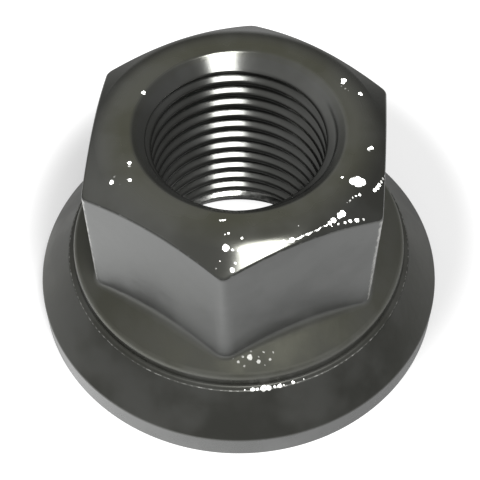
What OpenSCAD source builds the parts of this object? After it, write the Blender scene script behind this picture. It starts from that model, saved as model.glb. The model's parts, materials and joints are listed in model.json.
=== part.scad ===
/* [Hexagon] */
// Width across the flats of the hexagon
hex_af = 33; // [31:0.25:36]
// Rounding of the six upright corners
corner_r = 1.3; // [0.4:0.1:2.2]
// Height from the seat to the top face
nut_h = 30.2; // [26:0.2:38]
// Diameter of the round top face, where the corner chamfer begins
top_face_d = 29.5; // [28:0.25:31]
// Slope of the corner chamfer below the top face, in degrees
chamfer_deg = 32; // [15:1:40]

/* [Bore] */
// Nominal diameter of the thread
thread_d = 22; // [18:0.5:23]
// Pitch of the thread
thread_pitch = 2; // [1:0.25:2.5]
// How far the mouth at the top face opens outside the thread
top_mouth_w = 1; // [0.3:0.1:1.6]
// How far the mouth at the seat opens outside the thread
seat_mouth_w = 2.4; // [0.5:0.1:3.2]
// Slope of the mouth at the top face, in degrees from the axis of the bore
top_mouth_deg = 50; // [35:1:60]
// Slope of the mouth at the seat, in degrees from the axis of the bore
seat_mouth_deg = 38; // [25:1:50]

/* [Flange] */
// Diameter of the flange, over its upright rim
flange_d = 50.4; // [48:0.2:58]
// Height of the upright rim above the seat
rim_h = 3.7; // [2:0.1:5]
// Rounding of the upper edge of the rim
rim_round_r = 0.5; // [0.2:0.1:1.2]
// Chamfer of the lower edge of the rim
rim_chamfer = 0.4; // [0.1:0.1:0.8]
// Height of the conical skirt that rises from the rim
skirt_h = 4.8; // [4:0.1:6.5]
// Width of the ledge between the skirt and the collar
ledge_w = 0.7; // [0.3:0.1:1.2]

/* [Collar] */
// How far the collar stands out past the corners of the hexagon
collar_w = 1.5; // [1:0.1:2.2]
// Height of the collar wall above the ledge
collar_h = 1.9; // [1.2:0.1:3]
// Rounding of the upper edge of the collar
collar_round_r = 1.1; // [0.4:0.1:1.4]
// Slope of the cone that rises from the collar to the flats, in degrees
cone_deg = 30; // [20:1:35]
// Fillet where the flats grow out of the cone
root_r = 1.6; // [0.6:0.1:2.4]

/* [Hidden] */
$fn = 96;
// Height of a thread's crests inside its nominal radius, for each unit of pitch
thread_depth_ratio = 5 / 8 * cos(30);
// How far the root fillet reaches behind the flats, so that it never ends level with them
root_bite = 0.1;
// How far a cutting tool runs past the face that it cuts
overrun = 1;
steel = [0.21, 0.21, 0.19];

flat_r = hex_af / 2;
hex_corner_r = flat_r / cos(30);
top_face_r = top_face_d / 2;
thread_r = thread_d / 2;
bore_r = thread_r - thread_depth_ratio * thread_pitch;
flange_r = flange_d / 2;
collar_r = hex_corner_r + collar_w;
ledge_r = collar_r + ledge_w;
ledge_z = rim_h + skirt_h;
collar_z = ledge_z + collar_h;
skirt_deg = atan(skirt_h / (flange_r - ledge_r));

// A point that lies a distance along a slope, given in degrees above level
function along(p, deg, distance) = p + distance * [cos(deg), sin(deg)];

// Height of the cone above the seat, at a given radius
function cone_z(radius) = collar_z + (collar_r - radius) * tan(cone_deg);

// Distance from a corner of an outline to where a rounding touches its two
// sides, when the outline turns by the given angle there
function touch(round_r, turn) = round_r * tan(turn / 2);

// Hexagon with rounded corners, one of them pointing along -Y
module rounded_hexagon() {
    side_touch = touch(corner_r, 60);
    polygon([
        for (i = [0:5], side = [-1, 1])
            let (turned = 60 * i - 90)
                along(hex_corner_r * [cos(turned), sin(turned)], turned + side * 120, side_touch)
    ]);
    for (i = [0:5])
        rotate(60 * i - 90)
            translate([hex_corner_r - corner_r / cos(30), 0])
                circle(r = corner_r);
}

// Half section of the envelope that chamfers the top corners of the hexagon
module chamfer_profile() {
    outer_r = hex_corner_r + overrun;
    polygon([
        [0, 0],
        [outer_r, 0],
        [outer_r, nut_h - (outer_r - top_face_r) * tan(chamfer_deg)],
        [top_face_r, nut_h],
        [0, nut_h]
    ]);
}

module hexagon() {
    intersection() {
        linear_extrude(nut_h) rounded_hexagon();
        rotate_extrude() chamfer_profile();
    }
}

// Half section of the flange and its collar, from the axis outwards
module flange_profile() {
    rim_touch = touch(rim_round_r, 90 - skirt_deg);
    collar_touch = touch(collar_round_r, 90 - cone_deg);
    root_touch = touch(root_r, 90 - cone_deg);
    root_line_r = flat_r - root_bite;
    rim_edge = [flange_r, rim_h];
    collar_edge = [collar_r, collar_z];
    root_edge = [root_line_r, cone_z(root_line_r)];
    difference() {
        union() {
            polygon([
                [0, 0],
                [flange_r - rim_chamfer, 0],
                [flange_r, rim_chamfer],
                along(rim_edge, -90, rim_touch),
                along(rim_edge, 180 - skirt_deg, rim_touch),
                [ledge_r, ledge_z],
                [collar_r, ledge_z],
                along(collar_edge, -90, collar_touch),
                along(collar_edge, 180 - cone_deg, collar_touch),
                along(root_edge, -cone_deg, root_touch),
                along(root_edge, 90, root_touch),
                [0, root_edge[1] + root_touch]
            ]);
            translate(along(rim_edge, -90, rim_touch) - [rim_round_r, 0])
                circle(r = rim_round_r);
            translate(along(collar_edge, -90, collar_touch) - [collar_round_r, 0])
                circle(r = collar_round_r);
        }
        translate(along(root_edge, 90, root_touch) + [root_r, 0])
            circle(r = root_r);
    }
}

module flange() {
    rotate_extrude() flange_profile();
}

// Conical mouth that opens downwards from the bore to the plane z = 0
module mouth(mouth_r, mouth_deg) {
    mouth_depth = (mouth_r - bore_r) / tan(mouth_deg);
    rotate_extrude()
        polygon([
            [0, -overrun],
            [mouth_r + overrun * tan(mouth_deg), -overrun],
            [bore_r, mouth_depth],
            [0, mouth_depth]
        ]);
}

module bore() {
    translate([0, 0, -overrun])
        cylinder(r = bore_r, h = nut_h + 2 * overrun);
    mouth(thread_r + seat_mouth_w, seat_mouth_deg);
    translate([0, 0, nut_h])
        mirror([0, 0, 1]) mouth(thread_r + top_mouth_w, top_mouth_deg);
}

module wheel_nut() {
    color(steel)
        difference() {
            union() {
                hexagon();
                flange();
            }
            bore();
        }
}

wheel_nut();
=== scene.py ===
"""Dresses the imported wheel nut: one closed surface with its thread, a steel finish, a floor and a lamp."""

import json
import math

import bpy
import numpy as np
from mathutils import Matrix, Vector


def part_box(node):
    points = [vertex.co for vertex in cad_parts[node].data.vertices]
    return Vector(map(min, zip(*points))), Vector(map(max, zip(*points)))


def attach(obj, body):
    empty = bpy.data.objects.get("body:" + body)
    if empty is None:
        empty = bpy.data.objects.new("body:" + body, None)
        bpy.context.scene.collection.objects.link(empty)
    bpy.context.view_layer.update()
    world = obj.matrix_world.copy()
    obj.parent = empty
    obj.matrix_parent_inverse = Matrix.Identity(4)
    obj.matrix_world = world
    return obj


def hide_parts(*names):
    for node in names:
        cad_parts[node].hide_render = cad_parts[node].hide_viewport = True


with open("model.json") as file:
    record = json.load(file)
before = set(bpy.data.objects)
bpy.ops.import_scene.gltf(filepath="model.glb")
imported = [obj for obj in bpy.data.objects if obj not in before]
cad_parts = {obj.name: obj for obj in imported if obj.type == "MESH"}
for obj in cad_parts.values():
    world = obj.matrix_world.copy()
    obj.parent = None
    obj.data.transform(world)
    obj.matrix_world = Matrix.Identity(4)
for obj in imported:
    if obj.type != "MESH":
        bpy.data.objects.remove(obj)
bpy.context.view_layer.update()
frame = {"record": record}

bl_info = {
    "name": "Wheel Nut",
    "version": (1, 0, 0),
    "blender": (4, 5, 0),
    "location": "View3D > Sidebar > Wheel Nut",
    "description": "Builds a flanged hexagon wheel nut with a cut thread and an oiled steel finish",
    "category": "Object",
}

MM = 0.001
NODE = "wheel_nut"
NODE_LOW, NODE_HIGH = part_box(NODE)
NUT_HEIGHT = NODE_HIGH[2] - NODE_LOW[2]
FLANGE_RADIUS = (NODE_HIGH[0] - NODE_LOW[0]) / 2
THREAD_MOUNT = next(m for m in frame["record"]["mounts"] if m["name"] == "thread")
CREST_RADIUS = THREAD_MOUNT["dims"]["r_mm"] * MM

CORNERS = 6
SECTOR = 2 * math.pi / CORNERS
# Angle of the corner that points along -Y
FIRST_CORNER = -math.pi / 2


# Sizes that a user would change

class WheelNutHexagon(bpy.types.PropertyGroup):
    """The hexagon and the chamfer on its top corners."""

    across_flats: bpy.props.FloatProperty(
        name="Across flats", description="Width across the flats", default=33 * MM, unit="LENGTH")
    corner_top: bpy.props.FloatProperty(
        name="Corner at the top", description="Rounding of the upright corners at the chamfer",
        default=1.0 * MM, unit="LENGTH")
    corner_foot: bpy.props.FloatProperty(
        name="Corner at the foot", description="Rounding of the upright corners where they meet the cone",
        default=2.3 * MM, unit="LENGTH")
    top_face: bpy.props.FloatProperty(
        name="Top face", description="Diameter of the round top face", default=29.5 * MM, unit="LENGTH")
    chamfer: bpy.props.FloatProperty(
        name="Chamfer", description="Slope of the chamfer below the top face",
        default=math.radians(32), subtype="ANGLE")
    chamfer_edge: bpy.props.FloatProperty(
        name="Chamfer edge", description="Rounding between the flats and the chamfer",
        default=0.5 * MM, unit="LENGTH")
    face_edge: bpy.props.FloatProperty(
        name="Face edge", description="Rounding between the chamfer and the top face",
        default=5.5 * MM, unit="LENGTH")


class WheelNutFlange(bpy.types.PropertyGroup):
    """The flange, from its seat up to the foot of the hexagon."""

    rim_height: bpy.props.FloatProperty(
        name="Rim height", description="Height of the upright rim", default=3.7 * MM, unit="LENGTH")
    rim_edge: bpy.props.FloatProperty(
        name="Rim edge", description="Rounding of the upper edge of the rim",
        default=0.5 * MM, unit="LENGTH")
    rim_chamfer: bpy.props.FloatProperty(
        name="Rim chamfer", description="Chamfer of the lower edge of the rim",
        default=0.4 * MM, unit="LENGTH")
    seat_edge: bpy.props.FloatProperty(
        name="Seat edge", description="Rounding of the edges of the rim's chamfer",
        default=0.15 * MM, unit="LENGTH")
    skirt_height: bpy.props.FloatProperty(
        name="Skirt height", description="Height of the conical skirt", default=4.8 * MM, unit="LENGTH")
    lip_edge: bpy.props.FloatProperty(
        name="Lip edge", description="Rounding of the upper edge of the skirt",
        default=0.3 * MM, unit="LENGTH")
    ledge_width: bpy.props.FloatProperty(
        name="Ledge width", description="Width of the ledge around the collar",
        default=0.7 * MM, unit="LENGTH")
    ledge_fillet: bpy.props.FloatProperty(
        name="Ledge fillet", description="Fillet between the ledge and the collar wall",
        default=0.3 * MM, unit="LENGTH")
    collar_width: bpy.props.FloatProperty(
        name="Collar width", description="How far the collar stands out past the corners",
        default=1.5 * MM, unit="LENGTH")
    collar_height: bpy.props.FloatProperty(
        name="Collar height", description="Height of the collar wall", default=1.9 * MM, unit="LENGTH")
    collar_edge: bpy.props.FloatProperty(
        name="Collar edge", description="Rounding of the upper edge of the collar",
        default=1.1 * MM, unit="LENGTH")
    cone: bpy.props.FloatProperty(
        name="Cone", description="Slope of the cone between the collar and the flats",
        default=math.radians(30), subtype="ANGLE")
    root_fillet: bpy.props.FloatProperty(
        name="Root fillet", description="Fillet where the middles of the flats grow out of the cone",
        default=1.6 * MM, unit="LENGTH")
    corner_fillet: bpy.props.FloatProperty(
        name="Corner fillet", description="Fillet where the corners of the hexagon grow out of the cone",
        default=0.8 * MM, unit="LENGTH")


class WheelNutBore(bpy.types.PropertyGroup):
    """The threaded bore and its two mouths."""

    thread_diameter: bpy.props.FloatProperty(
        name="Thread diameter", description="Nominal diameter of the thread",
        default=22 * MM, unit="LENGTH")
    pitch: bpy.props.FloatProperty(
        name="Pitch", description="Pitch of the thread", default=2 * MM, unit="LENGTH")
    top_mouth: bpy.props.FloatProperty(
        name="Top mouth", description="How far the upper mouth opens outside the thread",
        default=1 * MM, unit="LENGTH")
    seat_mouth: bpy.props.FloatProperty(
        name="Seat mouth", description="How far the lower mouth opens outside the thread",
        default=2.4 * MM, unit="LENGTH")
    top_mouth_slope: bpy.props.FloatProperty(
        name="Top mouth slope", description="Slope of the upper mouth from the axis",
        default=math.radians(50), subtype="ANGLE")
    seat_mouth_slope: bpy.props.FloatProperty(
        name="Seat mouth slope", description="Slope of the lower mouth from the axis",
        default=math.radians(34), subtype="ANGLE")
    top_mouth_edge: bpy.props.FloatProperty(
        name="Top mouth edge", description="Rounding between the top face and its mouth",
        default=0.7 * MM, unit="LENGTH")
    seat_mouth_edge: bpy.props.FloatProperty(
        name="Seat mouth edge", description="Rounding between the seat and its mouth",
        default=0.3 * MM, unit="LENGTH")
    thread_start: bpy.props.FloatProperty(
        name="Thread start", description="Angle round the bore at which the thread starts",
        default=math.radians(-90), subtype="ANGLE")


class WheelNutFinish(bpy.types.PropertyGroup):
    """The colours of the steel and the film of oil on it."""

    forged: bpy.props.FloatVectorProperty(
        name="Forged", description="Colour of the darkest forged side",
        default=(0.085, 0.086, 0.084), subtype="COLOR", size=3, min=0, max=1)
    turned: bpy.props.FloatVectorProperty(
        name="Turned", description="Colour of the lightest side",
        default=(0.258, 0.263, 0.258), subtype="COLOR", size=3, min=0, max=1)
    oil: bpy.props.FloatVectorProperty(
        name="Oil", description="Tint that the thickest film of oil gives the steel",
        default=(1.0, 0.99, 0.76), subtype="COLOR", size=3, min=0, max=1)
    # This colour also paints the glints, the highlights on the corners and the reflection in the last turn
    bare: bpy.props.FloatVectorProperty(
        name="Bare", description="Colour of the bare steel in nicks and on worn edges",
        default=(0.8, 0.8, 0.77), subtype="COLOR", size=3, min=0, max=1)
    metallic: bpy.props.FloatProperty(
        name="Metallic", description="Share of the oxidised surface that reflects as metal",
        default=0.7, min=0, max=1)
    forged_roughness: bpy.props.FloatProperty(
        name="Forged roughness", description="Roughness of the roughest forged side",
        default=0.8, min=0, max=1)
    turned_roughness: bpy.props.FloatProperty(
        name="Turned roughness", description="Roughness of the smoothest side", default=0.12, min=0, max=1)
    mark_roughness: bpy.props.FloatProperty(
        name="Nick roughness", description="Roughness of the nicks", default=0.2, min=0, max=1)
    # Also scales the painted highlights on the corners and the painted reflection in the last turn
    wear: bpy.props.FloatProperty(
        name="Wear", description="How bare the worn edges are", default=0.8, min=0, max=1)
    lump_size: bpy.props.FloatProperty(
        name="Lump size", description="Size of the lumps of the forged skin", default=1.1 * MM,
        unit="LENGTH")
    lump_depth: bpy.props.FloatProperty(
        name="Lump depth", description="Height of the lumps on the roughest side", default=0.04 * MM,
        unit="LENGTH")
    patch_size: bpy.props.FloatProperty(
        name="Patch size", description="Size of the patches of oil", default=7 * MM, unit="LENGTH")
    fleck_size: bpy.props.FloatProperty(
        name="Fleck size", description="Size of the bare flecks on the edges", default=0.5 * MM,
        unit="LENGTH")
    unevenness: bpy.props.FloatProperty(
        name="Unevenness", description="How far the outline of a nick wanders", default=0.35 * MM,
        unit="LENGTH")


class WheelNutStage(bpy.types.PropertyGroup):
    """The floor, the room and the lamp."""

    floor: bpy.props.FloatVectorProperty(
        name="Floor", description="Colour of the floor", default=(0.6, 0.6, 0.6),
        subtype="COLOR", size=3, min=0, max=1)
    pool: bpy.props.FloatProperty(
        name="Pool", description="White that the floor adds in the middle of its pool of light",
        default=0.95, min=0, max=1)
    pool_edge: bpy.props.FloatProperty(
        name="Pool edge", description="White that the floor adds around the pool", default=0.25,
        min=0, max=1)
    backdrop: bpy.props.FloatProperty(
        name="Backdrop", description="Least white that the floor adds near the nut for the camera",
        default=0.95, min=0, max=1)
    shade: bpy.props.FloatProperty(
        name="Shade", description="Share of the white that is missing in the nut's shade, behind it",
        default=0.6, min=0, max=1)
    room: bpy.props.FloatProperty(
        name="Room", description="Brightness of the room overhead", default=0.3, min=0)
    room_lean: bpy.props.FloatProperty(
        name="Room lean", description="How much the room gains to the left, as a share of that overhead",
        default=0.95, min=0, max=1)
    room_dark: bpy.props.FloatProperty(
        name="Room dark", description="Brightness at the horizon, as a share of that overhead",
        default=0.25, min=0, max=1)
    lamp: bpy.props.FloatProperty(
        name="Lamp", description="Power of the lamp at the front", default=1.6, min=0, unit="POWER")


# The shape of the nut

# Upright columns in a sixth of the surface, and their spacing at its corner as a share of the mean
SECTOR_COLUMNS = 54
CORNER_CROWDING = 0.45


def unit(vectors):
    """Vectors divided by their length, along the last axis."""
    return vectors / np.linalg.norm(vectors, axis=-1, keepdims=True)


def column_angles(columns, crowding):
    """Angles of the upright columns of the surface, which crowd together at the corners.

    Across a sector, t runs from -1 to 1 and the angle from its corner is half the sector times
    crowding t + (1 - crowding) t cubed, so the spacing at the corner is crowding times the mean.
    """
    t = np.linspace(-1, 1, columns, endpoint=False)
    turned = SECTOR / 2 * (crowding * t + (1 - crowding) * t ** 3)
    corners = FIRST_CORNER % SECTOR + SECTOR * np.arange(CORNERS)
    return (corners[:, None] + turned).ravel()


def angle_from_corner(theta):
    """Angle between each column and the nearest corner of the hexagon."""
    return np.abs((theta - FIRST_CORNER + SECTOR / 2) % SECTOR - SECTOR / 2)


def hexagon_radius(theta, flat_r, corner_r):
    """Distance from the axis to a hexagon with rounded corners.

    Along a flat it is flat_r / cos(30 degrees - turned), where turned is the angle from the nearest
    corner. Round the corner the outline is a circle with its centre at distance c on the corner's ray,
    so the distance is c cos(turned) + sqrt(corner_r^2 - (c sin(turned))^2).
    """
    half = SECTOR / 2
    turned = angle_from_corner(theta)
    centre = (flat_r - corner_r) / math.cos(half)
    touching = math.atan2(corner_r * math.sin(half), centre + corner_r * math.cos(half))
    on_flat = flat_r / np.cos(half - turned)
    reach = np.maximum(corner_r ** 2 - (centre * np.sin(turned)) ** 2, 0)
    on_corner = centre * np.cos(turned) + np.sqrt(reach)
    return np.where(turned < touching, on_corner, on_flat)


def line_shares(length, steps):
    """Stations along a straight stretch as shares of its length, for every column.

    The first step lies a guard's width from the start and the last as far from the end, with the
    others evenly spread between them, and one more station is at the end. The guards keep the shading
    of a rounded edge off the flat beside it.
    """
    near = np.minimum(GUARD / length, GUARD_SHARE)
    even = np.linspace(0, 1, steps)[:, None]
    return np.concatenate([near + (1 - 2 * near) * even, np.ones((1, len(length)))])


def rounded_outline(corners, radii, line_steps):
    """Stations along an open outline with rounded corners, worked out for every column at once.

    corners holds (corner, column, radius and height). A corner that turns by an angle is replaced by
    an arc that touches both sides at radius * tan(angle / 2) from it, and a point of the arc at angle
    phi is the first touching point + radius * (sin(phi) * way in + (1 - cos(phi)) * way across).
    Returns the stations and their places: a whole number on a straight side, and between two on an arc.
    """
    sides = unit(np.diff(corners, axis=0))
    share = np.linspace(0, 1, ARC_STEPS + 1)[1:]
    stations = [corners[:1]]
    places = [np.zeros(1)]
    left = corners[0]
    for i, steps in enumerate(line_steps):
        if i < len(radii):
            way_in, way_out = sides[i], sides[i + 1]
            cosine = np.sum(way_in * way_out, axis=-1, keepdims=True)
            turn = np.arccos(np.clip(cosine, -1, 1))
            start = corners[i + 1] - radii[i] * np.tan(turn / 2) * way_in
        else:
            start = corners[i + 1]
        length = np.linalg.norm(start - left, axis=-1)
        stations.append(left + (start - left) * line_shares(length, steps)[..., None])
        places.append(np.full(steps + 1, float(i)))
        if i < len(radii):
            phi = turn * share[:, None, None]
            across = unit(way_out - cosine * way_in)
            stations.append(start + radii[i] * (np.sin(phi) * way_in + (1 - np.cos(phi)) * across))
            places.append(i + share)
            left = stations[-1][-1]
    return np.concatenate(stations), np.concatenate(places)


# Finish of each side of the outline, from the seat's mouth to the thread, each from 0 to 1: how light
# its steel is, how smooth it is, and how thick the film of oil on it is
SIDES = {
    "seat_mouth": (0.4, 0.8, 0.3),
    "seat": (0.5, 0.8, 0.0),
    "rim_chamfer": (0.45, 0.8, 0.0),
    "rim": (0.34, 0.75, 0.0),
    "skirt": (0.08, 0.55, 0.4),
    "ledge": (0.05, 0.4, 0.5),
    "collar_wall": (0.12, 0.75, 0.5),
    "cone": (0.12, 0.15, 0.8),
    "flats": (0.7, 0.6, 0.0),
    "chamfer": (0.28, 0.95, 0.4),
    "top_face": (0.42, 0.75, 1.0),
    "top_mouth": (0.42, 0.92, 0.4),
    "thread": (0.45, 0.92, 0.2),
}
# Share of the thread's depth over which the painted shade on its crests fades, from the crest outwards
CREST_SHARE = 1 / 3
# Height above the seat's mouth over which that painted shade grows to the darkest steel
CREST_FADE = 14 * MM
# Height of the last turn above that mouth, painted light with bare flecks as a painted reflection of the
# white floor under the bore, and the upper share of it over which that fades
LAST_TURN = 2 * MM
LAST_TURN_FADE = 0.5
# How worn each rounded edge between two of those sides is, from 0 to 1; fillets don't wear
EDGE_WEAR = (0.3, 0.5, 0.5, 0.4, 0.62, 0.0, 0.0, 0.0, 0.5, 0.0, 0.3)
# How much lighter the middle of each of those edges is painted than its sides: a painted highlight along
# the collar's upper edge
EDGE_HIGHLIGHT_PAINT = (0.0, 0.0, 0.0, 0.0, 0.0, 0.0, 0.3, 0.0, 0.0, 0.0, 0.0)
# How bare the flecks of the last turn's painted reflection are
LAST_TURN_FLECKS = 0.6
# How bare each upright corner of the hexagon is, from the one along -Y anticlockwise: partly wear, and
# partly a painted highlight along the corner's rounding
CORNER_WEAR_AND_HIGHLIGHT = (0.0, 1.0, 0.5, 0.3, 0.6, 1.0)
# Angle from a corner at which its bare line ends
CORNER_LINE_REACH = math.radians(2.4)
# How many stations each side but the thread has before the one at its end
SIDE_STEPS = (1, 4, 1, 3, 5, 1, 2, 6, 10, 3, 3, 1)
# Stations round each rounded edge
ARC_STEPS = 4
# Width of the strip beside a rounded edge, and the largest share of a short side that it takes
GUARD = 0.06 * MM
GUARD_SHARE = 0.3


def slope_step(slope, distance):
    """How far a distance along a slope from the axis goes outwards, and how far along the axis."""
    return distance * Vector((math.sin(slope), math.cos(slope)))


def outer_stations(theta, hexagon, flange, bore):
    """Stations of the outside, from the seat's mouth round the flange and the hexagon to the top mouth."""
    flat_r = hexagon.across_flats / 2
    corner_reach = flat_r / math.cos(SECTOR / 2)
    top_r = hexagon.top_face / 2
    collar_r = corner_reach + flange.collar_width
    ledge_r = collar_r + flange.ledge_width
    ledge_z = flange.rim_height + flange.skirt_height
    collar_z = ledge_z + flange.collar_height
    foot_r = hexagon_radius(theta, flat_r, hexagon.corner_foot)
    foot_z = collar_z + (collar_r - foot_r) * math.tan(flange.cone)
    shoulder_r = hexagon_radius(theta, flat_r, hexagon.corner_top)
    shoulder_z = NUT_HEIGHT - (shoulder_r - top_r) * math.tan(hexagon.chamfer)
    top_mouth_r = bore.thread_diameter / 2 + bore.top_mouth
    seat_mouth_r = bore.thread_diameter / 2 + bore.seat_mouth
    top_lead = slope_step(bore.top_mouth_slope, bore.top_mouth_edge)
    seat_lead = slope_step(bore.seat_mouth_slope, bore.seat_mouth_edge)
    outline = [
        (seat_mouth_r - seat_lead.x, seat_lead.y),
        (seat_mouth_r, 0),
        (FLANGE_RADIUS - flange.rim_chamfer, 0),
        (FLANGE_RADIUS, flange.rim_chamfer),
        (FLANGE_RADIUS, flange.rim_height),
        (ledge_r, ledge_z),
        (collar_r, ledge_z),
        (collar_r, collar_z),
        (foot_r, foot_z),
        (shoulder_r, shoulder_z),
        (top_r, NUT_HEIGHT),
        (top_mouth_r, NUT_HEIGHT),
        (top_mouth_r - top_lead.x, NUT_HEIGHT - top_lead.y),
    ]
    corners = np.empty((len(outline), len(theta), 2))
    for row, (radius, height) in zip(corners, outline):
        row[:, 0] = radius
        row[:, 1] = height
    on_flat = (foot_r.max() - foot_r) / (foot_r.max() - foot_r.min())
    root_r = flange.corner_fillet + (flange.root_fillet - flange.corner_fillet) * on_flat[:, None]
    radii = [bore.seat_mouth_edge, flange.seat_edge, flange.seat_edge, flange.rim_edge, flange.lip_edge,
             flange.ledge_fillet, flange.collar_edge, root_r, hexagon.chamfer_edge,
             hexagon.face_edge, bore.top_mouth_edge]
    return rounded_outline(corners, radii, SIDE_STEPS)


# Half widths of the thread's crest and root, and the width of the flank between them, in pitches
THREAD_CREST = 1 / 8
THREAD_ROOT = 1 / 16
THREAD_FLANK = 1 / 2 - THREAD_CREST - THREAD_ROOT


def thread_depth(phase):
    """How deep the groove is at a phase of the pitch, from 0 on the crest to 1 at the root.

    The crest lies to each side of phase 0 and the root to each side of phase 1/2, with straight flanks
    between them. Each value is the mean of that over a window as wide as the root, which rounds the
    crests and the roots.
    """
    from_crest = np.abs((phase + 1 / 2) % 1 - 1 / 2)
    climb = (from_crest - THREAD_CREST) / THREAD_FLANK
    window = THREAD_ROOT / THREAD_FLANK

    def area(x):
        """Area under the unrounded depth, up to x flanks past the edge of the crest."""
        return np.where(x < 1, np.maximum(x, 0) ** 2 / 2, x - 1 / 2)

    return (area(climb + window) - area(climb - window)) / (2 * window)


def thread_knots():
    """Phases of the pitch that have a station: both ends and the middle of each rounding."""
    rounding = THREAD_ROOT * np.array([-1, 0, 1])
    deepening = np.append(THREAD_CREST + rounding, 1 / 2 - THREAD_ROOT + rounding)
    return np.append(deepening, 1 - deepening[-2::-1])


THREAD_KNOTS = thread_knots()


def bore_stations(theta, high, low, bore):
    """Stations of the bore, from the top mouth down to the seat's mouth.

    Each knot of the thread's profile runs along its own helix, height = high - pitch * (turns down -
    turns round), so the crests are never stepped. Heights past either end stay at that end. The radius
    is that of the thread or of a mouth's cone, whichever is larger.
    """
    round_turns = (theta - bore.thread_start) / (2 * math.pi)
    turns = math.ceil((high - low) / bore.pitch + round_turns.max()) + 1
    down = (np.arange(turns)[:, None] + THREAD_KNOTS).ravel()[:, None]
    z = np.clip(high - bore.pitch * (down - round_turns), low, high)
    root_r = bore.thread_diameter / 2
    thread_r = CREST_RADIUS + (root_r - CREST_RADIUS) * thread_depth((high - z) / bore.pitch + round_turns)
    top_cone = root_r + bore.top_mouth - (NUT_HEIGHT - z) * math.tan(bore.top_mouth_slope)
    seat_cone = root_r + bore.seat_mouth - z * math.tan(bore.seat_mouth_slope)
    radius = np.maximum(thread_r, np.maximum(top_cone, seat_cone))
    return np.stack([radius, z], axis=-1)


def joined_faces(section, outer_rows):
    """Four-cornered faces that close the surface, round the axis and round the closed section.

    Stations of the bore at either end of it give way to the end of the outside there. After a full
    turn each knot of the thread has climbed one pitch, so there the grid joins on that many stations
    further down.
    """
    rows, columns = section.shape[:2]
    index = np.arange(rows * columns).reshape(rows, columns)
    height = section[outer_rows:, :, 1]
    high, low = section[outer_rows - 1, 0, 1], section[0, 0, 1]
    index[outer_rows:] = np.where(height >= high, index[outer_rows - 1], index[outer_rows:])
    index[outer_rows:] = np.where(height <= low, index[0], index[outer_rows:])

    per_turn = len(THREAD_KNOTS)
    after = np.roll(index, -1, axis=1)
    first = np.concatenate([np.full(per_turn, index[outer_rows - 1, 0]), index[outer_rows:-per_turn, 0]])
    after[outer_rows:, -1] = first
    here = np.concatenate([index, index[:1]])
    there = np.concatenate([after, after[:1]])
    return np.stack([here[:-1], there[:-1], there[1:], here[1:]], axis=-1).reshape(-1, 4)


def on_edges(place, values):
    """Each rounded edge's value at its middle, falling as a sine to 0 at its sides and beyond them.

    The last side of the outside and the thread have no rounded edge after them, so they get 0.
    """
    return np.sin(math.pi * (place % 1)) * np.append(values, [0, 0])[place.astype(int)]


def finish_masks(theta, section, outer_place, bore):
    """How light, smooth, oily and worn each point is, from 0 to 1.

    Each side has its own values, and a rounded edge goes from those of one side to those of the next.
    The thread's crests are painted dark as painted shade, and its last turn, next to the seat's mouth, is
    painted light with bare flecks as a painted reflection of the white floor. The bare lines on the corners
    are partly wear and partly a painted highlight.
    """
    rows, columns = section.shape[:2]
    outer_rows = len(outer_place)
    place = np.append(outer_place, np.full(rows - outer_rows, len(SIDES) - 1))[:, None]
    masks = {}
    for label, values in zip(("light", "smooth", "oil"), np.array(list(SIDES.values())).T):
        masks[label] = np.interp(place, range(len(values)), values) * np.ones(columns)

    thread_r = bore.thread_diameter / 2
    depth = (section[..., 0] - CREST_RADIUS) / (thread_r - CREST_RADIUS)
    depth[:outer_rows] = 1
    mouth_z = (thread_r + bore.seat_mouth - CREST_RADIUS) / math.tan(bore.seat_mouth_slope)
    above = section[..., 1] - mouth_z
    above[:outer_rows] = NUT_HEIGHT
    # The crests are painted dark: painted shade for the dark that they reflect
    crest = np.clip(1 - depth / CREST_SHARE, 0, 1) * np.clip(above / CREST_FADE, 0, 1)
    # The last turn is painted light: a painted reflection of the white floor under the bore
    painted_last_turn = np.clip((1 - above / LAST_TURN) / LAST_TURN_FADE, 0, 1)
    masks["light"] = np.maximum(masks["light"] * (1 - crest), painted_last_turn)
    # Painted highlight along the collar's upper edge
    masks["light"] += on_edges(place, EDGE_HIGHLIGHT_PAINT)

    nearest = np.round((theta - FIRST_CORNER) / SECTOR).astype(int) % CORNERS
    beside = np.clip(1 - angle_from_corner(theta) / CORNER_LINE_REACH, 0, 1)
    # Bare lines on the corners: partly wear, partly a painted highlight along their rounding
    corner_line = beside * np.array(CORNER_WEAR_AND_HIGHLIGHT)[nearest] * (place == list(SIDES).index("flats"))
    wear_and_painted_light = np.maximum(on_edges(place, EDGE_WEAR), corner_line)
    # Bare flecks in the last turn are part of its painted reflection
    masks["edge"] = np.maximum(wear_and_painted_light, LAST_TURN_FLECKS * painted_last_turn)
    return masks


def nut_grid(hexagon, flange, bore):
    """Points and faces of the whole surface, and the masks of its finish, its worn edges and its
    painted light.
    """
    theta = column_angles(SECTOR_COLUMNS, CORNER_CROWDING)
    outside, outer_place = outer_stations(theta, hexagon, flange, bore)
    high, low = outside[-1, 0, 1], outside[0, 0, 1]
    section = np.concatenate([outside, bore_stations(theta, high, low, bore)])
    radius, height = section[..., 0], section[..., 1]
    points = np.stack([radius * np.cos(theta), radius * np.sin(theta), height], axis=-1).reshape(-1, 3)
    masks = finish_masks(theta, section, outer_place, bore)
    return points, joined_faces(section, len(outside)), masks


def clean_faces(quads):
    """Drops the repeated corners of four-cornered faces, and the faces with fewer than three left."""
    repeated = quads == np.roll(quads, 1, axis=1)
    kept = 4 - repeated.sum(axis=1)
    order = np.argsort(repeated[kept == 3], axis=1, kind="stable")
    triangles = np.take_along_axis(quads[kept == 3], np.sort(order[:, :3], axis=1), axis=1)
    return quads[kept == 4], triangles


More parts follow.
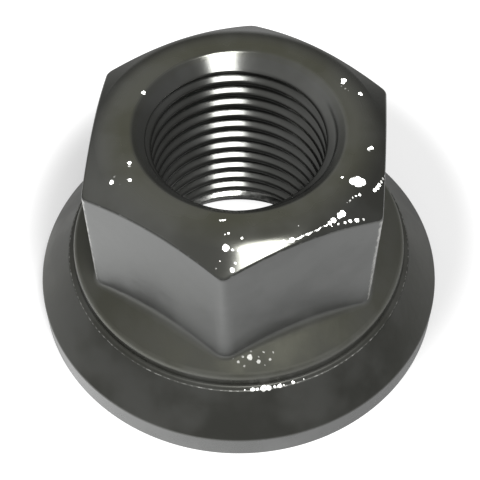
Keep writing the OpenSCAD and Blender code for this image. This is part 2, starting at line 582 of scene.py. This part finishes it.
def mesh_piece(name, points, quads, masks):
    """A smooth-shaded object at the origin, with a number from 0 to 1 on its points for each mask.

    Points that no face uses are left out, and the faces are renumbered to match.
    """
    squares, triangles = clean_faces(quads)
    used, renumbered = np.unique(np.concatenate([squares.ravel(), triangles.ravel()]), return_inverse=True)
    faces = renumbered[:squares.size].reshape(-1, 4).tolist()
    faces += renumbered[squares.size:].reshape(-1, 3).tolist()
    mesh = bpy.data.meshes.new(name)
    mesh.from_pydata(points[used], [], faces)
    for label, values in masks.items():
        mesh.attributes.new(label, "FLOAT", "POINT").data.foreach_set("value", values.ravel()[used])
    mesh.shade_smooth()
    piece = bpy.data.objects.new(name, mesh)
    bpy.context.scene.collection.objects.link(piece)
    return piece


# Each small nick in the oxide on the top face and the chamfer is painted as light bare steel, so it is
# also a painted glint; marks drawn the same way on the cone and the ledge are painted glints only. The
# azimuth of each in degrees, and its distance from the axis and its radius in millimetres
TOP_NICKS_AND_GLINTS = (
    (36, 14.1, 0.4), (35, 13.7, 0.25), (26, 14.9, 0.42), (33, 13.3, 0.1), (31, 13.5, 0.12), (29, 13.7, 0.08),
    (-7, 14.7, 0.36), (-5.5, 14.9, 0.34), (-26.6, 14.5, 0.55), (-26, 15.0, 0.62), (-24.6, 14.8, 0.6),
    (-24, 15.3, 0.5), (-27.6, 13.3, 0.2), (-36.5, 15.4, 0.1), (-34.8, 15.5, 0.12), (-33, 15.5, 0.15),
    (-31.4, 15.6, 0.18), (-29.8, 15.8, 0.2), (-23.2, 16.7, 0.26), (-21.6, 16.8, 0.28), (-20, 16.85, 0.26),
    (-18.3, 16.9, 0.22), (-16.6, 16.95, 0.18), (-14.9, 17.0, 0.14), (-13.2, 17.0, 0.1),
    (-42.6, 15.9, 0.36), (-41.2, 15.95, 0.44), (-45.8, 15.9, 0.32), (-47.8, 16.0, 0.26),
    (-47.6, 16.3, 0.12), (-45.1, 16.45, 0.14), (-42.4, 16.7, 0.2), (-40.3, 16.9, 0.24), (-38, 17.25, 0.3),
    (-35.6, 17.6, 0.16), (-60.2, 14.9, 0.17), (-63.5, 15.15, 0.1), (-93.5, 13.15, 0.16),
    (-92.2, 13.05, 0.18), (-91.3, 13, 0.18), (-90.4, 14.8, 0.24), (-89, 14.6, 0.28), (-83.6, 15.1, 0.2),
    (-89.7, 16, 0.38), (-87.2, 16.15, 0.14), (-84.9, 16.15, 0.18), (-87, 17.9, 0.26), (-86, 17.3, 0.16),
    (-91.5, 17.2, 0.08), (-92.5, 17.9, 0.08), (-68, 16, 0.32), (-64.3, 15.95, 0.28), (-146.6, 15.6, 0.34),
    (-148, 15.1, 0.2), (-151.4, 12.9, 0.26), (-149.5, 13.1, 0.18), (-142.2, 13.9, 0.28),
    (-143, 15.1, 0.14), (159, 12, 0.34),
)
# A broken line of painted glints along the chamfer, a painted highlight drawn as small marks: azimuths
# and distances of its ends, and how many it has
LINE_GLINTS = ((-66, -47), (15.98, 15.93), 36)
# Their mean radius and how far it swings, in millimetres, and the swing's phase at the far end, in
# radians
LINE_GLINT_RADIUS = 0.09
LINE_GLINT_SWING = 0.04
LINE_GLINT_PHASE = 31
# Painted glints on the cone, where the lamp's highlight falls, drawn as small marks
CONE_GLINTS = (
    (-81, 18.6, 0.34), (-78, 19.1, 0.26), (-85, 19.0, 0.18), (-76, 18.2, 0.16), (-80.5, 18.0, 0.14),
    (-74, 19.0, 0.18), (-83, 19.4, 0.12), (-72.5, 18.4, 0.12), (-78, 18.6, 0.12), (-87, 18.7, 0.1),
    (-76, 19.5, 0.1), (-83.5, 18.5, 0.16),
)
# Painted glints on the lip at the ledge, where the lamp's highlight falls, drawn as small marks
LIP_GLINTS = (
    (-80.5, 21.1, 0.3), (-79, 21.1, 0.18), (-77, 21.1, 0.42), (-75.5, 21.1, 0.34), (-73.5, 21.1, 0.2),
    (-72, 21.1, 0.28), (-70.5, 21.1, 0.12), (-67.5, 21.1, 0.24), (-83, 21.1, 0.12), (-64, 21.1, 0.1),
)
# How strongly the painted glints on the cone are drawn, where the other marks are 1
CONE_GLINT_STRENGTH = 0.45
# Direction that the bottom of every nick and painted glint faces: azimuth and elevation in degrees
MARK_FACING = (-78, 56)


def direction(azimuth, elevation):
    """The unit vector with an azimuth and an elevation in degrees."""
    across, up = math.radians(azimuth), math.radians(elevation)
    return Vector((math.cos(across) * math.cos(up), math.sin(across) * math.cos(up), math.sin(up)))


def placed_nicks_and_glints(hexagon, flange):
    """Centre, radius and strength of each nick and painted glint, on the top face, the chamfer, the cone or
    the ledge.

    Those of the broken line are evenly spread between its ends, and their radii go up and down as a
    sine along it.
    """
    top_r = hexagon.top_face / 2
    collar_r = hexagon.across_flats / 2 / math.cos(SECTOR / 2) + flange.collar_width
    ledge_z = flange.rim_height + flange.skirt_height
    azimuths, reaches, count = LINE_GLINTS
    share = np.linspace(0, 1, count)
    line = np.stack([np.interp(share, (0, 1), azimuths), np.interp(share, (0, 1), reaches),
                     LINE_GLINT_RADIUS + LINE_GLINT_SWING * np.sin(LINE_GLINT_PHASE * share)], axis=-1)
    placed = []
    for nicks_and_glints, level in ((TOP_NICKS_AND_GLINTS, "top"), (line.tolist(), "top"), (CONE_GLINTS, "cone"),
                         (LIP_GLINTS, "lip")):
        for azimuth, reach, radius in nicks_and_glints:
            reach *= MM
            strength = 1
            if level == "top":
                z = NUT_HEIGHT - max(reach - top_r, 0) * math.tan(hexagon.chamfer)
            elif level == "cone":
                z = ledge_z + flange.collar_height + (collar_r - reach) * math.tan(flange.cone)
                strength = CONE_GLINT_STRENGTH
            else:
                z = ledge_z
            placed.append((Vector((*(direction(azimuth, 0) * reach).xy, z)), radius * MM, strength))
    return placed


# Materials

WHITE = (1, 1, 1, 1)
# Detail of the noise in small lumps, and in the patches of oil
LUMP_DETAIL = 2
PATCH_DETAIL = 3
# Noise at which a patch of oil begins, and at which it is full
FILM_RANGE = (0.35, 0.65)
# Noise times wear at which a bare fleck begins, and at which it is full
FLECK_RANGE = (0.25, 0.5)
# Mean of each channel of a noise colour
NOISE_MEAN = (0.5, 0.5, 0.5)
# Flat bottom of each nick and painted glint, as a share of its radius
MARK_BOTTOM = 0.75
# A mark's strength is multiplied by this base plus its radius over this growth, at most 1 together
MARK_BASE = 0.4
MARK_GROWTH = 0.5 * MM
# How metallic each nick and painted glint is, as a share of the steel around it; less metal keeps them
# light from every side
MARK_METALLIC = 0.5
# Thickness of the film between its patches, as a share of that in them
THIN_FILM = 0.6
# What colour and roughness are multiplied by, between the patches and in them
FILM_SHADES = (1.12, 0.88)
FILM_ROUGHNESS = (1.15, 0.85)


def add_node(tree, kind, inputs=None, **options):
    """Adds a node, sets its options, and sets each named input or links it to a socket."""
    node = tree.nodes.new(kind)
    for option, value in options.items():
        setattr(node, option, value)
    for socket, value in (inputs or {}).items():
        if isinstance(value, bpy.types.NodeSocket):
            tree.links.new(value, node.inputs[socket])
        else:
            node.inputs[socket].default_value = value
    return node


def calculate(tree, operation, *values):
    """The result of a Math node on up to three numbers or sockets."""
    return add_node(tree, "ShaderNodeMath", dict(enumerate(values)), operation=operation).outputs[0]


def vector_maths(tree, operation, first, second):
    """The result of a Vector Math node on two vectors or sockets."""
    return add_node(tree, "ShaderNodeVectorMath", {0: first, 1: second}, operation=operation).outputs[0]


def scaled(tree, vector, factor):
    """A vector or a colour, times a number or a socket."""
    return add_node(tree, "ShaderNodeVectorMath", {0: vector, "Scale": factor}, operation="SCALE").outputs[0]


def distance_to(tree, position, point):
    """Distance from a position to a point."""
    node = add_node(tree, "ShaderNodeVectorMath", {0: position, 1: point}, operation="DISTANCE")
    return node.outputs["Value"]


def ramp(tree, value, start, end, low=0, high=1, kind="LINEAR"):
    """low where the value is at or before start, high at or past end, with a line or a curve between."""
    inputs = {"Value": value, "From Min": start, "From Max": end, "To Min": low, "To Max": high}
    return add_node(tree, "ShaderNodeMapRange", inputs, interpolation_type=kind).outputs["Result"]


def blend(tree, share, low, high):
    """low where the share is 0 and high where it is 1."""
    return ramp(tree, share, 0, 1, low, high)


def blend_colour(tree, share, low, high):
    """The colour low where the share is 0 and high where it is 1."""
    node = add_node(tree, "ShaderNodeMix", data_type="RGBA")
    for socket, value in zip((node.inputs["Factor"], *(i for i in node.inputs if i.type == "RGBA")),
                             (share, low, high)):
        if isinstance(value, bpy.types.NodeSocket):
            tree.links.new(value, socket)
        else:
            socket.default_value = value
    return next(out for out in node.outputs if out.type == "RGBA")


def shader_group(name, inputs, outputs):
    """An empty node group with named sockets, and its input and output nodes."""
    tree = bpy.data.node_groups.new(name, "ShaderNodeTree")
    for label, kind in inputs.items():
        tree.interface.new_socket(label, in_out="INPUT", socket_type=kind)
    for label, kind in outputs.items():
        tree.interface.new_socket(label, in_out="OUTPUT", socket_type=kind)
    return tree, tree.nodes.new("NodeGroupInput").outputs, tree.nodes.new("NodeGroupOutput").inputs


def lumps(tree, position, size, detail):
    """Smooth noise from 0 to 1 with lumps of about the given size."""
    scale = calculate(tree, "DIVIDE", 1, size)
    noise = add_node(tree, "ShaderNodeTexNoise", {"Vector": position, "Scale": scale, "Detail": detail})
    return noise.outputs["Fac"]


def grain_group():
    """Small rounded lumps of a forged skin, as a height in metres."""
    tree, given, result = shader_group(
        "forged_grain",
        {"Position": "NodeSocketVector", "Lump Size": "NodeSocketFloat", "Depth": "NodeSocketFloat"},
        {"Height": "NodeSocketFloat"})
    skin = lumps(tree, given["Position"], given["Lump Size"], LUMP_DETAIL)
    tree.links.new(calculate(tree, "MULTIPLY", skin, given["Depth"]), result["Height"])
    return tree


def film_group():
    """Soft patches, from 0 to 1, where the oil has gathered."""
    tree, given, result = shader_group(
        "oil_film", {"Position": "NodeSocketVector", "Patch Size": "NodeSocketFloat"},
        {"Mask": "NodeSocketFloat"})
    patches = lumps(tree, given["Position"], given["Patch Size"], PATCH_DETAIL)
    tree.links.new(ramp(tree, patches, *FILM_RANGE, kind="SMOOTHSTEP"), result["Mask"])
    return tree


def edge_fleck_group():
    """Bare flecks along the edges: the edge mask, broken up by small lumps. That mask holds wear, and also
    the painted highlights on the corners and the painted reflection in the thread's last turn.
    """
    tree, given, result = shader_group(
        "edge_flecks",
        {"Position": "NodeSocketVector", "Edge": "NodeSocketFloat", "Fleck Size": "NodeSocketFloat"},
        {"Mask": "NodeSocketFloat"})
    broken = lumps(tree, given["Position"], given["Fleck Size"], LUMP_DETAIL)
    strong = calculate(tree, "MULTIPLY", broken, given["Edge"])
    tree.links.new(ramp(tree, strong, *FLECK_RANGE), result["Mask"])
    return tree


def nick_and_glint_group(nicks_and_glints):
    """Flat-bottomed nick marks and painted glints: a mask from 0 to 1, and a normal that turns to one
    direction inside them.

    A mark's mask falls from its strength at the edge of its bottom to 0 at its radius, round an outline
    that small lumps make uneven. The smallest marks are the faintest.
    """
    tree, given, result = shader_group(
        "nicks_and_glints",
        {"Position": "NodeSocketVector", "Unevenness": "NodeSocketFloat", "Lump Size": "NodeSocketFloat",
         "Facing": "NodeSocketVector", "Normal": "NodeSocketVector"},
        {"Mask": "NodeSocketFloat", "Normal": "NodeSocketVector"})
    scale = calculate(tree, "DIVIDE", 1, given["Lump Size"])
    noise = add_node(tree, "ShaderNodeTexNoise", {"Vector": given["Position"], "Scale": scale})
    shift = vector_maths(tree, "SUBTRACT", noise.outputs["Color"], NOISE_MEAN)
    place = vector_maths(tree, "ADD", given["Position"], scaled(tree, shift, given["Unevenness"]))
    mask = 0
    for centre, radius, strength in nicks_and_glints:
        full = strength * min(MARK_BASE + radius / MARK_GROWTH, 1)
        inside = ramp(tree, distance_to(tree, place, centre), radius, MARK_BOTTOM * radius, 0, full)
        mask = calculate(tree, "MAXIMUM", mask, inside)
    facing = add_node(tree, "ShaderNodeVectorTransform", {0: given["Facing"]}, vector_type="NORMAL",
                      convert_from="OBJECT", convert_to="WORLD").outputs[0]
    turn = scaled(tree, vector_maths(tree, "SUBTRACT", facing, given["Normal"]), mask)
    turned = vector_maths(tree, "ADD", given["Normal"], turn)
    tree.links.new(mask, result["Mask"])
    tree.links.new(add_node(tree, "ShaderNodeVectorMath", {0: turned}, operation="NORMALIZE").outputs[0],
                   result["Normal"])
    return tree


def steel_material(finish, nicks_and_glints):
    """Dark steel, whose lightness, roughness and film of oil follow the masks of each side."""
    material = bpy.data.materials.new("oiled_steel")
    material.use_nodes = True
    tree = material.node_tree
    shader = tree.nodes["Principled BSDF"]
    position = add_node(tree, "ShaderNodeTexCoord").outputs["Object"]
    light, smooth, oil, edge = (
        add_node(tree, "ShaderNodeAttribute", attribute_name=label).outputs["Fac"]
        for label in ("light", "smooth", "oil", "edge"))

    film = add_node(tree, "ShaderNodeGroup", {"Patch Size": finish.patch_size}, node_tree=film_group())
    wear = add_node(tree, "ShaderNodeGroup", {"Fleck Size": finish.fleck_size, "Edge": edge},
                    node_tree=edge_fleck_group())
    grain = add_node(tree, "ShaderNodeGroup", {"Lump Size": finish.lump_size,
                                               "Depth": blend(tree, smooth, finish.lump_depth, 0)},
                     node_tree=grain_group())
    # A distance of 1 keeps the grain's height in metres
    relief = add_node(tree, "ShaderNodeBump", {"Height": grain.outputs["Height"], "Distance": 1.0})
    nick_and_glint_node = add_node(tree, "ShaderNodeGroup",
                      {"Unevenness": finish.unevenness, "Lump Size": finish.fleck_size,
                       "Facing": direction(*MARK_FACING), "Normal": relief.outputs["Normal"]},
                      node_tree=nick_and_glint_group(nicks_and_glints))
    for group in (film, wear, grain, nick_and_glint_node):
        tree.links.new(position, group.inputs["Position"])

    # The light mask also carries the painted shade on the thread's crests, the painted reflection in its
    # last turn and the painted highlight on the collar's edge
    colour = blend_colour(tree, light, (*finish.forged, 1), (*finish.turned, 1))
    thick = calculate(tree, "MULTIPLY", oil, blend(tree, film.outputs["Mask"], THIN_FILM, 1))
    tint = blend_colour(tree, thick, WHITE, (*finish.oil, 1))
    colour = vector_maths(tree, "MULTIPLY", colour, tint)
    colour = scaled(tree, colour, blend(tree, film.outputs["Mask"], *FILM_SHADES))
    # Bare steel on worn edges and in each nick, and painted light: painted glints, the painted highlights on
    # the corners and the painted reflection in the thread's last turn
    wear_and_painted_light = calculate(tree, "MULTIPLY", wear.outputs["Mask"], finish.wear)
    colour = blend_colour(tree, calculate(tree, "MAXIMUM", wear_and_painted_light, nick_and_glint_node.outputs["Mask"]),
                          colour, (*finish.bare, 1))
    tree.links.new(colour, shader.inputs["Base Color"])
    rough = blend(tree, smooth, finish.forged_roughness, finish.turned_roughness)
    patchy = calculate(tree, "MULTIPLY", rough, blend(tree, film.outputs["Mask"], *FILM_ROUGHNESS))
    tree.links.new(blend(tree, nick_and_glint_node.outputs["Mask"], patchy, finish.mark_roughness),
                   shader.inputs["Roughness"])
    tree.links.new(blend(tree, nick_and_glint_node.outputs["Mask"], finish.metallic, finish.metallic * MARK_METALLIC),
                   shader.inputs["Metallic"])
    tree.links.new(nick_and_glint_node.outputs["Normal"], shader.inputs["Normal"])
    return material


# The stage

def ring(tree, position, middle, near, far, inside, outside):
    """A value that goes smoothly from inside to outside between two distances from a middle."""
    away = distance_to(tree, position, middle)
    return ramp(tree, away, near, far, inside, outside, kind="SMOOTHSTEP")


# Half the width of the floor in metres, and the point of it under the nut's axis
FLOOR_REACH = 3.0
FLOOR_MIDDLE = (0, 0, 0)
# Middle of the pool of light on the floor, to the front left of the nut
POOL_MIDDLE = (-24 * MM, -16 * MM, 0)
# Distances from that middle between which the pool falls to its edge value
POOL_NEAR = 20 * MM
POOL_FAR = 50 * MM
# Distances from the nut's axis between which the rest of the white fades out
GLOW_NEAR = 65 * MM
GLOW_FAR = 95 * MM
# Middle of the nut's soft shade, behind it, and the distances from it over which the shade ends
SHADE_MIDDLE = (1 * MM, 10 * MM, 0)
SHADE_NEAR = 27 * MM
SHADE_FAR = 36 * MM
# Distances from the axis, under the flange, over which the shade that the camera sees begins
UNDER_NEAR = 12 * MM
UNDER_FAR = 20 * MM
FLOOR_ROUGHNESS = 0.9


def floor_material(stage):
    """A matt floor that adds a soft pool of white for the camera and for mirror-like surfaces.

    The white falls from the middle of the pool to its edge value, and to nothing far from the nut.
    Near the nut the camera sees at least the backdrop value. The shade takes its share of that away
    behind the nut, but not under the bore. Mirror-like surfaces see no white in the shade at all.
    """
    material = bpy.data.materials.new("pale_floor")
    material.use_nodes = True
    tree = material.node_tree
    shader = tree.nodes["Principled BSDF"]
    shader.inputs["Base Color"].default_value = (*stage.floor, 1)
    shader.inputs["Roughness"].default_value = FLOOR_ROUGHNESS
    shader.inputs["Specular IOR Level"].default_value = 0
    shader.inputs["Emission Color"].default_value = WHITE
    position = add_node(tree, "ShaderNodeTexCoord").outputs["Object"]
    pool = ring(tree, position, POOL_MIDDLE, POOL_NEAR, POOL_FAR, stage.pool, stage.pool_edge)
    reach = ring(tree, position, FLOOR_MIDDLE, GLOW_NEAR, GLOW_FAR, 1, 0)
    behind = ring(tree, position, SHADE_MIDDLE, SHADE_NEAR, SHADE_FAR, 1, 0)
    shade = ring(tree, position, FLOOR_MIDDLE, UNDER_NEAR, UNDER_FAR, 0, stage.shade)
    path = tree.nodes.new("ShaderNodeLightPath").outputs
    camera = path["Is Camera Ray"]
    mirrored = calculate(tree, "MAXIMUM", path["Is Glossy Ray"], path["Is Transmission Ray"])
    white = calculate(tree, "MAXIMUM", pool, calculate(tree, "MULTIPLY", camera, stage.backdrop))
    hidden = calculate(tree, "MULTIPLY", behind, calculate(tree, "MAXIMUM", shade, mirrored))
    glow = calculate(tree, "MULTIPLY", white, calculate(tree, "SUBTRACT", 1, hidden))
    glow = calculate(tree, "MULTIPLY", glow, reach)
    seen = calculate(tree, "MAXIMUM", camera, mirrored)
    tree.links.new(calculate(tree, "MULTIPLY", glow, seen), shader.inputs["Emission Strength"])
    return material


def floor_sheet(stage):
    """A square floor, level with the nut's seat."""
    reach = FLOOR_REACH
    mesh = bpy.data.meshes.new("floor")
    mesh.from_pydata([(-reach, -reach, 0), (reach, -reach, 0), (reach, reach, 0), (-reach, reach, 0)],
                     [], [(0, 1, 2, 3)])
    floor = bpy.data.objects.new("floor", mesh)
    bpy.context.scene.collection.objects.link(floor)
    mesh.materials.append(floor_material(stage))
    return floor


# Heights of a direction, where overhead is 1, between which the room goes from dark to bright
ROOM_FADE = (0.05, 0.6)


def room_world(strength, lean, dark):
    """A plain room that is dark near the horizon and brighter to the left than to the right.

    In the direction x, y, z it is strength * (1 - lean * x) bright. With the height z going down, that
    is multiplied by a share that falls smoothly from 1 to dark.
    """
    world = bpy.data.worlds.new("room")
    world.use_nodes = True
    tree = world.node_tree
    way = add_node(tree, "ShaderNodeTexCoord").outputs["Generated"]
    split = add_node(tree, "ShaderNodeSeparateXYZ", {0: way}).outputs
    side = calculate(tree, "MULTIPLY_ADD", split["X"], -strength * lean, strength)
    fade = ramp(tree, split["Z"], *ROOM_FADE, low=dark, kind="SMOOTHSTEP")
    background = tree.nodes["Background"].inputs
    tree.links.new(calculate(tree, "MULTIPLY", side, fade), background["Strength"])
    background["Color"].default_value = WHITE
    return world


# Where the lamp stands: its azimuth, elevation and width as seen from the nut in degrees, and its
# distance in metres
LAMP_AZIMUTH = -62
LAMP_ELEVATION = 63
LAMP_WIDTH = 22
LAMP_DISTANCE = 0.5


def soft_lamp(power):
    """Places a round lamp that faces the nut."""
    way = direction(LAMP_AZIMUTH, LAMP_ELEVATION)
    data = bpy.data.lights.new("lamp", "AREA")
    data.shape = "DISK"
    data.size = 2 * LAMP_DISTANCE * math.tan(math.radians(LAMP_WIDTH) / 2)
    data.energy = power
    lamp = bpy.data.objects.new("lamp", data)
    lamp.location = way * LAMP_DISTANCE
    lamp.rotation_euler = way.to_track_quat("Z", "Y").to_euler()
    lamp.visible_camera = False
    bpy.context.scene.collection.objects.link(lamp)


# Where the camera stands, and what it points at
CAMERA_PLACE = Vector((7.909 * MM, -88.724 * MM, 131.212 * MM))
CAMERA_AIM = Vector((0.329 * MM, -3.745 * MM, 14 * MM))
# Width of its sensor and its focal length in millimetres, and the shares of the picture's width by
# which the picture is shifted sideways and upwards
CAMERA_SENSOR = 36
CAMERA_LENS = 90.48
CAMERA_SHIFT = (0.00279, 0.00077)
# Nearest distance that it sees
CAMERA_NEAR = 1 * MM


def front_camera():
    """A camera that looks down at the nut from in front."""
    data = bpy.data.cameras.new("camera")
    data.sensor_width = CAMERA_SENSOR
    data.lens = CAMERA_LENS
    data.shift_x, data.shift_y = CAMERA_SHIFT
    data.clip_start = CAMERA_NEAR
    camera = bpy.data.objects.new("camera", data)
    camera.location = CAMERA_PLACE
    camera.rotation_euler = (CAMERA_AIM - CAMERA_PLACE).to_track_quat("-Z", "Y").to_euler()
    bpy.context.scene.collection.objects.link(camera)
    return camera


# Operators

class WHEELNUT_OT_body(bpy.types.Operator):
    """Build the nut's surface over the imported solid"""

    bl_idname = "wheelnut.body"
    bl_label = "Nut Body"

    def execute(self, context):
        scene = context.scene
        piece = mesh_piece("nut_body", *nut_grid(scene.nut_hexagon, scene.nut_flange, scene.nut_bore))
        nicks_and_glints = placed_nicks_and_glints(scene.nut_hexagon, scene.nut_flange)
        piece.data.materials.append(steel_material(scene.nut_finish, nicks_and_glints))
        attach(piece, "root")
        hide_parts(NODE)
        return {"FINISHED"}


class WHEELNUT_OT_stage(bpy.types.Operator):
    """Lay the floor, light the room and place the camera"""

    bl_idname = "wheelnut.stage"
    bl_label = "Stage"

    def execute(self, context):
        scene = context.scene
        stage = scene.nut_stage
        floor = floor_sheet(stage)
        scene.world = room_world(stage.room, stage.room_lean, stage.room_dark)
        soft_lamp(stage.lamp)
        scene.camera = front_camera()
        scene.view_settings.view_transform = "Standard"
        return {"FINISHED"}


class WHEELNUT_PT_panel(bpy.types.Panel):
    """Sidebar panel that lists the steps of the build"""

    bl_idname = "WHEELNUT_PT_panel"
    bl_label = "Wheel Nut"
    bl_space_type = "VIEW_3D"
    bl_region_type = "UI"
    bl_category = "Wheel Nut"

    def draw(self, context):
        for step in STEPS:
            self.layout.operator(step.bl_idname)


STEPS = (WHEELNUT_OT_body, WHEELNUT_OT_stage)
GROUPS = {
    "nut_hexagon": WheelNutHexagon,
    "nut_flange": WheelNutFlange,
    "nut_bore": WheelNutBore,
    "nut_finish": WheelNutFinish,
    "nut_stage": WheelNutStage,
}


def register():
    for kind in (*GROUPS.values(), *STEPS, WHEELNUT_PT_panel):
        bpy.utils.register_class(kind)
    for name, group in GROUPS.items():
        setattr(bpy.types.Scene, name, bpy.props.PointerProperty(type=group))


def unregister():
    for name in GROUPS:
        delattr(bpy.types.Scene, name)
    for kind in reversed((*GROUPS.values(), *STEPS, WHEELNUT_PT_panel)):
        bpy.utils.unregister_class(kind)


def main():
    register()
    bpy.ops.wheelnut.body()
    bpy.ops.wheelnut.stage()


if __name__ == "__main__":
    main()
